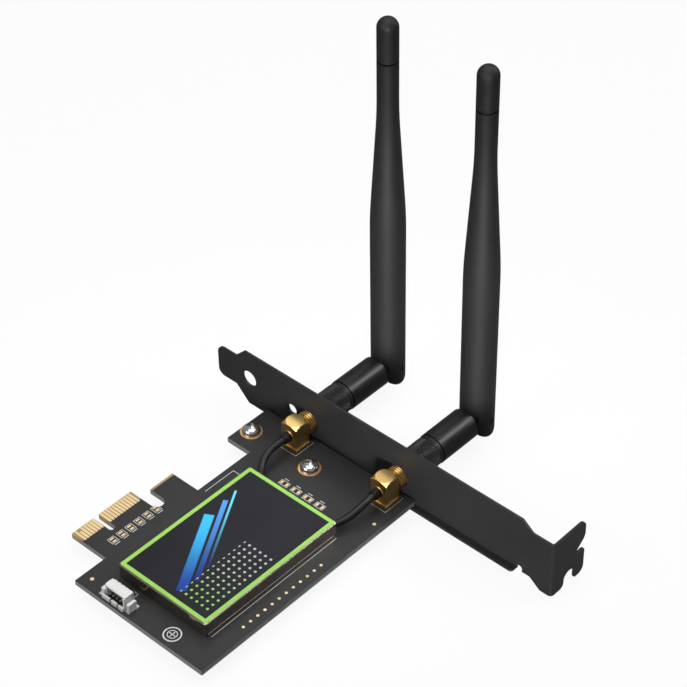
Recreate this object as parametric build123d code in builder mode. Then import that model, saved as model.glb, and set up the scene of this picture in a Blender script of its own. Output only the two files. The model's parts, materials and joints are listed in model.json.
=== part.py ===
"""Plug-in radio card: a board with edge contacts, a folded bracket, and two elbow antennas.

Millimetres. The origin is the middle of the key notch on the contact edge, on the component face.
+X runs up the board from the contact edge, +Y out through the bracket, +Z off the component face.
"""
from build123d import *
import math
import os

os.makedirs("parts", exist_ok=True)

# Circuit board
BOARD_T = 1.6
BOARD_TOP_X = 59.5
BOARD_LOW_X = 13.5
BOARD_REAR_Y = -19.35
BOARD_BRACKET_GAP = 0.5
EAR_LOW_X = 4.9
EAR_LENGTH = 15.5
HOOK_LOW_X = 3.75
HOOK_LENGTH = 8.3
HOOK_SLOT_W = 4.0
HOOK_SLOT_DEPTH = 10.5
KEY_W = 1.9
KEY_DEPTH = 7.4
EDGE_BEVEL = 0.45
CONTACT_CORNER_R = 0.7
BOARD_CORNER_R = 0.4

# Edge contacts
CONTACT_PITCH = 1.0
CONTACT_W = 0.7
CONTACT_T = 0.05
CONTACT_START = 0.5
CONTACT_END = 4.8
SENSE_SHORTFALL = 1.1
SHORT_COUNT = 7
LONG_COUNT = 11
KEY_MARGIN = 0.55
END_MARGIN = 1.1

# Bracket
SHEET_T = 0.8
BRACKET_TIP_X = -14.1
BRACKET_LENGTH = 119.4
PANEL_Y = 60.85
PANEL_W = 18.42
TONGUE_LENGTH = 6.9
TONGUE_W = 10.3
TONGUE_MID_Z = 7.35
TONGUE_CORNER_R = 2.2
FLANGE_DEPTH = 2.0
FLANGE_START = 20.0
FLANGE_TOP_GAP = 11.6
FLANGE_CORNER_R = 1.0
SHOULDER_DROP = 10.5
SHOULDER_RUN = 3.5
TAB_DROP = 2.72
TAB_DEPTH = 13.3
TAB_CORNER_R = 2.2
TAB_SHOULDER_DROP = 7.3
RELIEF_W = 1.8
RELIEF_DEPTH = 1.0
SCREW_SLOT_W = 4.4
SCREW_SLOT_Y = 7.3
SCREW_SLOT_DEPTH = 4.5
SLOT_MOUTH_R = 1.6
HOOK_TIP_R = 0.6
GUIDE_NOTCH_Z = 3.3
GUIDE_NOTCH_DEPTH = 3.6
GUIDE_NOTCH_W = 4.2
GUIDE_NOTCH_R = 0.9
GUIDE_SHOULDER_R = 3.0
FOLD_OUTER_R = 1.2
FOLD_INNER_R = 0.4
VENT_X = 12.1
VENT_Z = 6.9
VENT_R = 2.55
LAMP_HOLE_X = 28.4
LAMP_HOLE_Z = 5.3
LAMP_HOLE_R = 1.65
LUG_W = 8.0

# Bracket screws and their pads
SCREW_X = (8.0, 29.9)
SCREW_SETBACK = 9.8
SCREW_R = 1.45
SCREW_FIT = 0.02
SCREW_HEAD_R = 2.6
SCREW_HEAD_H = 1.9
SCREW_DOME = 0.7
SCREW_END = 1.2
CROSS_W = 0.7
CROSS_L = 2.9
CROSS_DEPTH = 1.1
SCREW_HOLE_R = 1.7
PAD_R = 3.2
PAD_T = 0.06

# Antenna sockets
SOCKET_X = 20.4
SOCKET_PITCH = 32.55
AXIS_Z = 4.65
POST_W = 5.55
POST_D = 5.2
POST_SETBACK = 2.5
POST_TOP = 3.6
POST_FLAT_R = 2.58
POST_TURN_W = 1.5
POST_TURN_DROP = 0.87
FOOT_W = 6.0
FOOT_D = 5.65
FOOT_T = 0.7
LEG_R = 0.45
LEG_OFFSET = 1.9
LEG_END = 0.9
LEG_HOLE_FIT = 0.15
THREAD_R = 3.15
BARREL_OUT = 9.0
MOUTH_R = 2.32
MOUTH_DEPTH = 2.5
DIELECTRIC_R = 2.0
SOCKET_PIN_R = 0.63
SOCKET_PIN_SHORT = 0.2
PANEL_HOLE_FIT = 0.15
NUT_FLATS = 7.7
OUTER_NUT_T = 1.8
WASHER_R = 4.4
WASHER_T = 0.5

# Pigtails
CABLE_R = 1.05
CABLE_EXIT_Z = 4.5
CABLE_HOLE_Z = 1.75
SLEEVE_R = 1.5
SLEEVE_L = 2.4
CABLE_SEAT = 1.0
CABLE_LEAD = 1.0
PLUG_LEAD = 2.4
PLUG_R = 1.5
PLUG_H = 0.7
PLUG_TAIL_L = 2.9
PLUG_TAIL_W = 1.9

# Shield can and its label
CAN_X = 20.9
CAN_Y = -10.85
CAN_W = 31.8
CAN_L = 48.4
CAN_H = 4.65
CAN_WALL = 0.3
CAN_CORNER_R = 0.8
CAN_TOP_R = 0.35
LABEL_INSET = 0.05
LABEL_T = 0.08
LABEL_CORNER_R = 0.6
MOUSE_HOLE_W = 3.6
MOUSE_HOLE_H = 3.3
MOUSE_HOLE_X = (4.1, 29.1)

# Radio module inside the can
MODULE_W = 22.0
MODULE_L = 30.0
MODULE_T = 0.8
MODULE_Z = 1.6
MODULE_SEAT = 4.0
CARD_SOCKET_W = 23.4
CARD_SOCKET_D = 8.2
CARD_SOCKET_H = 3.4
CARD_SOCKET_INSET = 1.5
CARD_SLOT_FIT = 0.05
CHIP_SHIELD_W = 19.4
CHIP_SHIELD_L = 14.0
CHIP_SHIELD_H = 1.3
CHIP_SHIELD_Y = 6.0
RECEPTACLE_R = 1.0
RECEPTACLE_H = 0.5
RECEPTACLE_SPREAD = 15.0
RECEPTACLE_INSET = 2.7
STANDOFF_R = 2.3
MODULE_SCREW_R = 0.95
MODULE_HEAD_R = 1.9
MODULE_HEAD_H = 0.6
MODULE_NOTCH_R = 1.75

# Board header
HEADER_X = 27.05
HEADER_W = 7.7
HEADER_D = 3.7
HEADER_H = 4.3
HEADER_EDGE = 0.95
HEADER_WALL = 0.7
HEADER_FLOOR = 0.6
HEADER_WINDOW_W = 4.9
HEADER_WINDOW_D = 1.6
HEADER_EAR_W = 1.2
HEADER_EAR_D = 2.8
HEADER_EAR_H = 2.6
ANCHOR_T = 0.3
ANCHOR_LIP = 0.5
PIN_COUNT = 4
PIN_PITCH = 1.25
PIN_W = 0.4
PIN_REACH = 2.4
PIN_TAIL = 1.5

# Antenna coupling
NUT_START = 3.5
NUT_LENGTH = 10.1
NUT_R = 4.38
NUT_CHAMFER = 0.4
NUT_RIM = 0.9
NUT_WALL = 2.4
KNURL_COUNT = 36
KNURL_H = 0.2
KNURL_W = 0.4
THREAD_FIT = 0.06
RUN_FIT = 0.05
END_PLAY = 0.3
FERRULE_SLEEVE_R = 2.25
FERRULE_FLANGE_R = 3.0
FERRULE_FLANGE_T = 1.7
FERRULE_NECK_R = 2.4
FERRULE_BORE_R = 1.85
FERRULE_TAIL_R = 3.2
FERRULE_TAIL_T = 1.5
FERRULE_TAIL_AT = 4.0
FERRULE_END = 7.0
PLUG_CONTACT_R = 1.0
PLUG_CONTACT_BORE_R = 0.7
PLUG_CONTACT_DEPTH = 4.0

# Antenna elbow and whip
ELBOW_R = 4.9
SWIVEL_R = 4.6
ELBOW_GAP = 0.3
TONGUE_HALF_W = 3.0
TONGUE_TOP = 2.8
SWIVEL_GAP = 0.4
HINGE_OUT = 32.8
PIN_R = 1.1
PIN_RECESS = 0.4
WHIP_LENGTH = 113.4
TIP_R = 2.91
TAPER_START_SHARE = 0.4541
TAPER_SHARE = 0.2954
TAPER_BLEND_R = 150.0
CAP_LENGTH = 12.7
CAP_GROOVE = 0.3
CAP_SPIGOT_L = 5.0
WHIP_WALL = 1.5
TIP_WALL = 1.25
WHIP_FLOOR = 9.0
FEED_R = 0.7
FEED_SEAT = 1.7
FEED_TIP_GAP = 0.35
DIPOLE_R = 2.3
DIPOLE_START_SHARE = 0.1764
DIPOLE_SHARE = 0.2205

# Places worked out from the sizes above
SHORT_GROUP = (SHORT_COUNT - 1) * CONTACT_PITCH + KEY_MARGIN + END_MARGIN
LONG_GROUP = (LONG_COUNT - 1) * CONTACT_PITCH + KEY_MARGIN + END_MARGIN
BOARD_END_Y = PANEL_Y - BOARD_BRACKET_GAP
EAR_Y = BOARD_END_Y - EAR_LENGTH
SHORT_END_Y = -KEY_W / 2 - SHORT_GROUP
LONG_END_Y = KEY_W / 2 + LONG_GROUP
HOOK_Y = LONG_END_Y + HOOK_SLOT_W
HOOK_END_Y = HOOK_Y + HOOK_LENGTH
FLANGE_TOP_Z = -BOARD_T
FLANGE_LOW_Z = FLANGE_TOP_Z - SHEET_T
PANEL_TOP_Z = FLANGE_LOW_Z + PANEL_W
OUTER_FACE_Y = PANEL_Y + SHEET_T
TAB_TOP_X = BRACKET_TIP_X + BRACKET_LENGTH
TAB_UNDER_X = TAB_TOP_X - SHEET_T
FLANGE_START_X = BRACKET_TIP_X + FLANGE_START
FLANGE_END_X = TAB_TOP_X - FLANGE_TOP_GAP
TAB_TOP_Z = PANEL_TOP_Z - TAB_DROP
TAB_LOW_Z = FLANGE_LOW_Z - TAB_DROP
SCREW_Y = PANEL_Y - SCREW_SETBACK
POST_FRONT_Y = PANEL_Y - POST_SETBACK
POST_Y = POST_FRONT_Y - POST_D / 2
POST_BACK_Y = POST_FRONT_Y - POST_D
POST_TOP_Z = AXIS_Z + POST_TOP
DIELECTRIC_OUT = BARREL_OUT - MOUTH_DEPTH
WASHER_OUT = SHEET_T
OUTER_NUT_OUT = WASHER_OUT + WASHER_T
CAN_MID_X = CAN_X + CAN_W / 2
CAN_END_Y = CAN_Y + CAN_L
CARD_SOCKET_Y = CAN_Y + CAN_WALL + CARD_SOCKET_INSET
MODULE_Y = CARD_SOCKET_Y + CARD_SOCKET_D - MODULE_SEAT
MODULE_END_Y = MODULE_Y + MODULE_L
MODULE_TOP_Z = MODULE_Z + MODULE_T
RECEPTACLE_Y = MODULE_END_Y - RECEPTACLE_INSET
RECEPTACLE_TOP_Z = MODULE_TOP_Z + RECEPTACLE_H
PLUG_MID_Z = RECEPTACLE_TOP_Z + PLUG_H / 2
PLUG_TAIL_Y = RECEPTACLE_Y + PLUG_TAIL_L
HEADER_FRONT_Y = BOARD_REAR_Y + HEADER_EDGE
HEADER_BACK_Y = HEADER_FRONT_Y + HEADER_D
HEADER_EAR_Y = (HEADER_FRONT_Y + HEADER_BACK_Y) / 2
HEADER_CAVITY_D = HEADER_D - HEADER_WALL
HEADER_CAVITY_H = HEADER_H - HEADER_FLOOR - HEADER_WALL
PIN_Z = HEADER_FLOOR + HEADER_CAVITY_H / 2
NUT_END = NUT_START + NUT_LENGTH
FLANGE_OUT = BARREL_OUT + END_PLAY
FLANGE_BACK_OUT = FLANGE_OUT + FERRULE_FLANGE_T
SWIVEL_OUT = NUT_END + SWIVEL_GAP
TAIL_OUT = SWIVEL_OUT + FERRULE_TAIL_AT
TAIL_END_OUT = TAIL_OUT + FERRULE_TAIL_T
FERRULE_END_OUT = SWIVEL_OUT + FERRULE_END
HINGE_Y = PANEL_Y + HINGE_OUT
ELBOW_CLEAR_R = ELBOW_R + ELBOW_GAP
SHEATH_LENGTH = WHIP_LENGTH - CAP_LENGTH
TAPER_START = TAPER_START_SHARE * WHIP_LENGTH
TAPER_END = TAPER_START + TAPER_SHARE * WHIP_LENGTH
FEED_FOOT = WHIP_FLOOR - FEED_SEAT + RUN_FIT
FEED_TIP = SHEATH_LENGTH - CAP_SPIGOT_L - FEED_TIP_GAP
DIPOLE_START = DIPOLE_START_SHARE * WHIP_LENGTH
DIPOLE_END = DIPOLE_START + DIPOLE_SHARE * WHIP_LENGTH
SIDES = (("left", SOCKET_X), ("right", SOCKET_X + SOCKET_PITCH))


# Board outline with its contact edge, hook and bracket ear
with BuildPart() as circuit_board:
    with BuildSketch(Plane.XY.offset(-BOARD_T)) as outline:
        Polygon(
            (0, SHORT_END_Y),
            (0, LONG_END_Y),
            (HOOK_LOW_X, LONG_END_Y),
            (HOOK_LOW_X, HOOK_END_Y),
            (BOARD_LOW_X, HOOK_END_Y),
            (BOARD_LOW_X, EAR_Y),
            (EAR_LOW_X, EAR_Y),
            (EAR_LOW_X, BOARD_END_Y),
            (BOARD_TOP_X, BOARD_END_Y),
            (BOARD_TOP_X, BOARD_REAR_Y),
            (BOARD_LOW_X, BOARD_REAR_Y),
            (BOARD_LOW_X, SHORT_END_Y),
            align=None,
        )
        with Locations((0, 0)):
            SlotOverall(2 * KEY_DEPTH, KEY_W, mode=Mode.SUBTRACT)
        with Locations((0, LONG_END_Y + HOOK_SLOT_W / 2)):
            SlotOverall(2 * HOOK_SLOT_DEPTH, HOOK_SLOT_W, mode=Mode.SUBTRACT)
        contact_corners = outline.vertices().group_by(Axis.X)[0]
        fillet(contact_corners, CONTACT_CORNER_R)
    extrude(amount=BOARD_T)
    outer_corners = circuit_board.edges().filter_by(Axis.Z).group_by(Axis.X)[-1]
    fillet(outer_corners, BOARD_CORNER_R)
    with BuildSketch(Plane.XZ.offset(-LONG_END_Y)):
        Polygon((0, 0), (EDGE_BEVEL, 0), (0, -EDGE_BEVEL), align=None)
        Polygon((0, -BOARD_T), (EDGE_BEVEL, -BOARD_T), (0, EDGE_BEVEL - BOARD_T), align=None)
    extrude(amount=LONG_END_Y - SHORT_END_Y, mode=Mode.SUBTRACT)
    with Locations(*[(x, SCREW_Y, 0) for x in SCREW_X]):
        Hole(SCREW_HOLE_R, BOARD_T)
    for side, socket_x in SIDES:
        with Locations((socket_x, POST_Y, 0)):
            with GridLocations(2 * LEG_OFFSET, 2 * LEG_OFFSET, 2, 2):
                Hole(LEG_R + LEG_HOLE_FIT, BOARD_T)
circuit_board.part.label = "circuit_board"
export_step(circuit_board.part, "parts/circuit_board.step")


# Gold contacts on both faces; the last but one of the short group is the presence contact
contact_rows = []
for index in range(SHORT_COUNT):
    shortfall = SENSE_SHORTFALL if index == SHORT_COUNT - 2 else 0
    contact_rows.append((-KEY_W / 2 - KEY_MARGIN - index * CONTACT_PITCH, CONTACT_START + shortfall))
for index in range(LONG_COUNT):
    contact_rows.append((KEY_W / 2 + KEY_MARGIN + index * CONTACT_PITCH, CONTACT_START))

for face, low_z in (("front", 0), ("back", -BOARD_T - CONTACT_T)):
    with BuildPart() as edge_contacts:
        with BuildSketch(Plane.XY.offset(low_z)):
            for contact_y, start in contact_rows:
                with Locations(((start + CONTACT_END) / 2, contact_y)):
                    Rectangle(CONTACT_END - start, CONTACT_W)
        extrude(amount=CONTACT_T)
    edge_contacts.part.label = f"edge_contacts_{face}"
    export_step(edge_contacts.part, f"parts/edge_contacts_{face}.step")


# Bracket: one folded sheet with a panel, a tongue, a foot flange with two lugs and a screw tab
with BuildPart() as bracket:
    tongue_x = BRACKET_TIP_X + TONGUE_LENGTH
    tongue_top = TONGUE_MID_Z + TONGUE_W / 2
    tongue_low = TONGUE_MID_Z - TONGUE_W / 2
    shoulder_x = TAB_TOP_X - SHOULDER_DROP
    tab_shoulder_x = TAB_TOP_X - TAB_SHOULDER_DROP
    with BuildSketch(Plane.XZ.offset(-PANEL_Y)) as panel:
        Polygon(
            (BRACKET_TIP_X, tongue_low),
            (BRACKET_TIP_X, tongue_top),
            (tongue_x, tongue_top),
            (tongue_x + PANEL_TOP_Z - tongue_top, PANEL_TOP_Z),
            (shoulder_x, PANEL_TOP_Z),
            (shoulder_x + SHOULDER_RUN, TAB_TOP_Z),
            (TAB_TOP_X, TAB_TOP_Z),
            (TAB_TOP_X, TAB_LOW_Z),
            (tab_shoulder_x + SHOULDER_RUN, TAB_LOW_Z),
            (tab_shoulder_x, FLANGE_LOW_Z),
            (tongue_x + tongue_low - FLANGE_LOW_Z, FLANGE_LOW_Z),
            (tongue_x, tongue_low),
            align=None,
        )
        tip_corners = panel.vertices().group_by(Axis.X)[0]
        fillet(tip_corners, TONGUE_CORNER_R)
        relief_x = FLANGE_END_X + RELIEF_W / 2
        with Locations((relief_x, FLANGE_LOW_Z)):
            SlotOverall(2 * (RELIEF_DEPTH + SHEET_T), RELIEF_W, rotation=90, mode=Mode.SUBTRACT)
        with Locations((BRACKET_TIP_X + VENT_X, VENT_Z)):
            Circle(VENT_R, mode=Mode.SUBTRACT)
        with Locations((BRACKET_TIP_X + LAMP_HOLE_X, LAMP_HOLE_Z)):
            Circle(LAMP_HOLE_R, mode=Mode.SUBTRACT)
        for side, socket_x in SIDES:
            with Locations((socket_x, AXIS_Z)):
                Circle(THREAD_R + PANEL_HOLE_FIT, mode=Mode.SUBTRACT)
    extrude(amount=-SHEET_T)
    # Foot flange and the lugs that carry the board
    with BuildSketch(Plane.XY.offset(FLANGE_LOW_Z)) as foot:
        flange_length = FLANGE_END_X - FLANGE_START_X
        flange_mid_x = (FLANGE_START_X + FLANGE_END_X) / 2
        with Locations((flange_mid_x, PANEL_Y - FLANGE_DEPTH / 2)):
            Rectangle(flange_length, FLANGE_DEPTH)
        flange_corners = foot.vertices().group_by(Axis.Y)[0]
        fillet(flange_corners, FLANGE_CORNER_R)
        for lug_x in SCREW_X:
            with Locations((lug_x, SCREW_Y)):
                Circle(LUG_W / 2)
            with Locations((lug_x, (SCREW_Y + PANEL_Y) / 2)):
                Rectangle(LUG_W, SCREW_SETBACK)
            with Locations((lug_x, SCREW_Y)):
                Circle(SCREW_R + SCREW_FIT, mode=Mode.SUBTRACT)
    extrude(amount=SHEET_T)
    # Screw tab with its open slot and guide notch
    with BuildSketch(Plane.YZ.offset(TAB_UNDER_X)) as tab:
        tab_end_y = PANEL_Y + TAB_DEPTH
        slot_y = PANEL_Y + SCREW_SLOT_Y
        Polygon(
            (PANEL_Y, TAB_LOW_Z),
            (PANEL_Y, TAB_TOP_Z),
            (tab_end_y, TAB_TOP_Z),
            (tab_end_y, TAB_LOW_Z),
            align=None,
        )
        tab_corners = tab.vertices().group_by(Axis.X)[-1]
        fillet(tab_corners, TAB_CORNER_R)
        with Locations((slot_y, TAB_LOW_Z)):
            SlotOverall(2 * SCREW_SLOT_DEPTH, SCREW_SLOT_W, rotation=90, mode=Mode.SUBTRACT)
        Polygon(
            (tab_end_y - GUIDE_NOTCH_DEPTH, GUIDE_NOTCH_Z),
            (tab_end_y + GUIDE_NOTCH_DEPTH, GUIDE_NOTCH_Z),
            (tab_end_y + GUIDE_NOTCH_DEPTH, GUIDE_NOTCH_Z + GUIDE_NOTCH_W),
            (tab_end_y, GUIDE_NOTCH_Z + GUIDE_NOTCH_W),
            (tab_end_y - GUIDE_NOTCH_DEPTH, GUIDE_NOTCH_Z + GUIDE_NOTCH_W / 4),
            align=None,
            mode=Mode.SUBTRACT,
        )
        notch_low = GUIDE_NOTCH_Z
        notch_bend = GUIDE_NOTCH_Z + GUIDE_NOTCH_W / 4
        notch_top = GUIDE_NOTCH_Z + GUIDE_NOTCH_W
        notch_y = tab_end_y - GUIDE_NOTCH_DEPTH
        for corner_y, corner_z, radius in (
            (tab_end_y, notch_low, GUIDE_NOTCH_R),
            (notch_y, notch_bend, GUIDE_NOTCH_R),
            (tab_end_y, notch_top, GUIDE_SHOULDER_R),
            (slot_y - SCREW_SLOT_W / 2, TAB_LOW_Z, SLOT_MOUTH_R),
            (slot_y + SCREW_SLOT_W / 2, TAB_LOW_Z, HOOK_TIP_R),
        ):
            nearest = tab.vertices().sort_by_distance((corner_y, corner_z, 0))[0]
            fillet(nearest, radius)
    extrude(amount=SHEET_T)
    # Rounded folds
    upright = bracket.edges().filter_by(Axis.Z)
    tab_mid_z = (TAB_TOP_Z + TAB_LOW_Z) / 2
    fillet(upright.sort_by_distance((TAB_TOP_X, PANEL_Y, tab_mid_z))[0], FOLD_OUTER_R)
    upright = bracket.edges().filter_by(Axis.Z)
    fillet(upright.sort_by_distance((TAB_UNDER_X, OUTER_FACE_Y, tab_mid_z))[0], FOLD_INNER_R)
bracket.part.label = "bracket"
export_step(bracket.part, "parts/bracket.step")


# Two pan head screws with a cross recess, and the plated pads they seat on
with BuildPart() as screw_pads:
    with BuildSketch(Plane.XY):
        with Locations(*[(x, SCREW_Y) for x in SCREW_X]):
            Circle(PAD_R)
            Circle(SCREW_HOLE_R, mode=Mode.SUBTRACT)
    extrude(amount=PAD_T)
screw_pads.part.label = "screw_pads"
export_step(screw_pads.part, "parts/screw_pads.step")

with BuildPart() as bracket_screws:
    with BuildSketch(Plane.XY.offset(PAD_T)):
        with Locations(*[(x, SCREW_Y) for x in SCREW_X]):
            Circle(SCREW_HEAD_R)
    extrude(amount=SCREW_HEAD_H)
    chamfer(bracket_screws.edges().group_by(Axis.Z)[-1], SCREW_DOME)
    with BuildSketch(Plane.XY.offset(PAD_T)):
        with Locations(*[(x, SCREW_Y) for x in SCREW_X]):
            Circle(SCREW_R)
    extrude(amount=FLANGE_LOW_Z - SCREW_END - PAD_T)
    with BuildSketch(Plane.XY.offset(PAD_T + SCREW_HEAD_H)):
        with Locations(*[(x, SCREW_Y) for x in SCREW_X]):
            Rectangle(CROSS_L, CROSS_W)
            Rectangle(CROSS_W, CROSS_L)
    extrude(amount=-CROSS_DEPTH, mode=Mode.SUBTRACT)
bracket_screws.part.label = "bracket_screws"
export_step(bracket_screws.part, "parts/bracket_screws.step")


# Shield can over the radio module, open below, with two cable holes in the wall facing the bracket
with BuildPart() as shield_can:
    with BuildSketch(Plane.XY):
        with Locations((CAN_MID_X, CAN_Y + CAN_L / 2)):
            RectangleRounded(CAN_W, CAN_L, CAN_CORNER_R)
    extrude(amount=CAN_H)
    fillet(shield_can.edges().group_by(Axis.Z)[-1], CAN_TOP_R)
    with BuildSketch(Plane.XY):
        with Locations((CAN_MID_X, CAN_Y + CAN_L / 2)):
            RectangleRounded(CAN_W - 2 * CAN_WALL, CAN_L - 2 * CAN_WALL, CAN_CORNER_R - CAN_WALL)
    extrude(amount=CAN_H - CAN_WALL, mode=Mode.SUBTRACT)
    with BuildSketch(Plane.XZ.offset(-CAN_END_Y)):
        for hole_x in MOUSE_HOLE_X:
            with Locations((CAN_X + hole_x, 0)):
                SlotOverall(2 * MOUSE_HOLE_H, MOUSE_HOLE_W, rotation=90)
    extrude(amount=2 * CAN_WALL, mode=Mode.SUBTRACT)
shield_can.part.label = "shield_can"
export_step(shield_can.part, "parts/shield_can.step")

with BuildPart() as shield_label:
    with BuildSketch(Plane.XY.offset(CAN_H)):
        with Locations((CAN_MID_X, CAN_Y + CAN_L / 2)):
            label_inset = 2 * (CAN_TOP_R + LABEL_INSET)
            RectangleRounded(CAN_W - label_inset, CAN_L - label_inset, LABEL_CORNER_R)
    extrude(amount=LABEL_T)
shield_label.part.label = "shield_label"
export_step(shield_label.part, "parts/shield_label.step")


# Card socket, radio module, its chip shield, and the standoff and screw that hold the module down
with BuildPart() as module_socket:
    with BuildSketch(Plane.XY):
        with Locations((CAN_MID_X, CARD_SOCKET_Y + CARD_SOCKET_D / 2)):
            Rectangle(CARD_SOCKET_W, CARD_SOCKET_D)
    extrude(amount=CARD_SOCKET_H)
    with BuildSketch(Plane.XZ.offset(-CARD_SOCKET_Y - CARD_SOCKET_D)):
        with Locations((CAN_MID_X, MODULE_Z + MODULE_T / 2)):
            Rectangle(MODULE_W + 2 * CARD_SLOT_FIT, MODULE_T + 2 * CARD_SLOT_FIT)
    extrude(amount=MODULE_SEAT + CARD_SLOT_FIT, mode=Mode.SUBTRACT)
module_socket.part.label = "module_socket"
export_step(module_socket.part, "parts/module_socket.step")

with BuildPart() as module_board:
    with BuildSketch(Plane.XY.offset(MODULE_Z)):
        with Locations((CAN_MID_X, MODULE_Y + MODULE_L / 2)):
            Rectangle(MODULE_W, MODULE_L)
        with Locations((CAN_MID_X, MODULE_END_Y)):
            Circle(MODULE_NOTCH_R, mode=Mode.SUBTRACT)
    extrude(amount=MODULE_T)
module_board.part.label = "module_board"
export_step(module_board.part, "parts/module_board.step")

with BuildPart() as module_shield:
    with BuildSketch(Plane.XY.offset(MODULE_TOP_Z)):
        with Locations((CAN_MID_X, MODULE_Y + CHIP_SHIELD_Y + CHIP_SHIELD_L / 2)):
            Rectangle(CHIP_SHIELD_W, CHIP_SHIELD_L)
    extrude(amount=CHIP_SHIELD_H)
module_shield.part.label = "module_shield"
export_step(module_shield.part, "parts/module_shield.step")

with BuildPart() as module_standoff:
    with BuildSketch(Plane.XY):
        with Locations((CAN_MID_X, MODULE_END_Y)):
            Circle(STANDOFF_R)
            Circle(MODULE_SCREW_R, mode=Mode.SUBTRACT)
    extrude(amount=MODULE_Z)
module_standoff.part.label = "module_standoff"
export_step(module_standoff.part, "parts/module_standoff.step")

with BuildPart() as module_screw:
    with BuildSketch(Plane.XY):
        with Locations((CAN_MID_X, MODULE_END_Y)):
            Circle(MODULE_SCREW_R)
    extrude(amount=MODULE_TOP_Z)
    with BuildSketch(Plane.XY.offset(MODULE_TOP_Z)):
        with Locations((CAN_MID_X, MODULE_END_Y)):
            Circle(MODULE_HEAD_R)
    extrude(amount=MODULE_HEAD_H)
module_screw.part.label = "module_screw"
export_step(module_screw.part, "parts/module_screw.step")

with BuildPart() as module_receptacles:
    with BuildSketch(Plane.XY.offset(MODULE_TOP_Z)):
        with Locations((CAN_MID_X, RECEPTACLE_Y)):
            with GridLocations(RECEPTACLE_SPREAD, 0, 2, 1):
                Circle(RECEPTACLE_R)
    extrude(amount=RECEPTACLE_H)
module_receptacles.part.label = "module_receptacles"
export_step(module_receptacles.part, "parts/module_receptacles.step")


# Board header: a shrouded housing with side ears, four bent pins and two solder anchors
pin_x = [HEADER_X + (index - (PIN_COUNT - 1) / 2) * PIN_PITCH for index in range(PIN_COUNT)]

with BuildPart() as header_housing:
    with BuildSketch(Plane.XY):
        with Locations((HEADER_X, HEADER_EAR_Y)):
            Rectangle(HEADER_W, HEADER_D)
    extrude(amount=HEADER_H)
    with BuildSketch(Plane.XY.offset(ANCHOR_T)):
        with Locations((HEADER_X, HEADER_EAR_Y)):
            Rectangle(HEADER_W + 2 * HEADER_EAR_W, HEADER_EAR_D)
    extrude(amount=HEADER_EAR_H - ANCHOR_T)
    with BuildSketch(Plane.XZ.offset(-HEADER_FRONT_Y)):
        with Locations((HEADER_X, PIN_Z)):
            Rectangle(HEADER_W - 2 * HEADER_WALL, HEADER_CAVITY_H)
    extrude(amount=-HEADER_CAVITY_D, mode=Mode.SUBTRACT)
    with BuildSketch(Plane.XY.offset(HEADER_H)):
        with Locations((HEADER_X, HEADER_FRONT_Y)):
            Rectangle(HEADER_WINDOW_W, 2 * HEADER_WINDOW_D)
    extrude(amount=-2 * HEADER_WALL, mode=Mode.SUBTRACT)
    with BuildSketch(Plane.XZ.offset(-HEADER_BACK_Y)):
        for x in pin_x:
            with Locations((x, PIN_Z)):
                Rectangle(PIN_W, PIN_W)
    extrude(amount=HEADER_D / 2, mode=Mode.SUBTRACT)
header_housing.part.label = "header_housing"
export_step(header_housing.part, "parts/header_housing.step")

with BuildPart() as header_pins:
    pin_front_y = HEADER_BACK_Y - HEADER_WALL - PIN_REACH
    pin_heel_y = HEADER_BACK_Y + PIN_W
    for x in pin_x:
        with BuildSketch(Plane.YZ.offset(x - PIN_W / 2)):
            Polygon(
                (pin_front_y, PIN_Z - PIN_W / 2),
                (HEADER_BACK_Y, PIN_Z - PIN_W / 2),
                (HEADER_BACK_Y, 0),
                (HEADER_BACK_Y + PIN_TAIL, 0),
                (HEADER_BACK_Y + PIN_TAIL, PIN_W / 2),
                (pin_heel_y, PIN_W / 2),
                (pin_heel_y, PIN_Z + PIN_W / 2),
                (pin_front_y, PIN_Z + PIN_W / 2),
                align=None,
            )
        extrude(amount=PIN_W)
header_pins.part.label = "header_pins"
export_step(header_pins.part, "parts/header_pins.step")

with BuildPart() as header_anchors:
    anchor_w = HEADER_EAR_W + ANCHOR_LIP
    with BuildSketch(Plane.XY):
        with Locations((HEADER_X, HEADER_EAR_Y)):
            with GridLocations(HEADER_W + anchor_w, 0, 2, 1):
                Rectangle(anchor_w, HEADER_EAR_D + 2 * ANCHOR_LIP)
    extrude(amount=ANCHOR_T)
header_anchors.part.label = "header_anchors"
export_step(header_anchors.part, "parts/header_anchors.step")


# Pigtail bends outside and inside the can: share of the run, offset across and offset up
OUTER_BENDS = {
    "left": ((0.28, -1.5, 0.37), (0.567, -2.22, 0.16), (0.792, -1.65, -0.12)),
    "right": ((0.315, 0.9, 0.27), (0.665, 1.15, -0.07)),
}
INNER_BENDS = {
    "left": ((0.278, 1.37, -0.47), (0.623, 1.51, -0.38)),
    "right": ((0.378, 0.06, -0.57), (0.7, -1.08, -0.1)),
}
HOLE_OFFSET = {"left": (-0.5, 0.5), "right": (0.4, -0.05)}
HOLE_X = {"left": CAN_X + MOUSE_HOLE_X[0], "right": CAN_X + MOUSE_HOLE_X[1]}
PLUG_X = {"left": CAN_MID_X - RECEPTACLE_SPREAD / 2, "right": CAN_MID_X + RECEPTACLE_SPREAD / 2}


def bend_radii(points):
    """The largest arc at each corner that leaves a tenth of the shorter run straight."""
    radii = []
    for before, corner, after in zip(points, points[1:], points[2:]):
        arrive = Vector(*corner) - Vector(*before)
        leave = Vector(*after) - Vector(*corner)
        turn = arrive.get_angle(leave)
        radii.append(0.45 * min(arrive.length, leave.length) / math.tan(math.radians(turn / 2)))
    return radii


def bent_run(start, end, bends):
    """Points between two ends, each at its share of the run and moved across and up."""
    points = []
    for share, across, up in bends:
        x, y, z = (a + share * (b - a) for a, b in zip(start, end))
        points.append((x + across, y, z + up))
    return points


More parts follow.
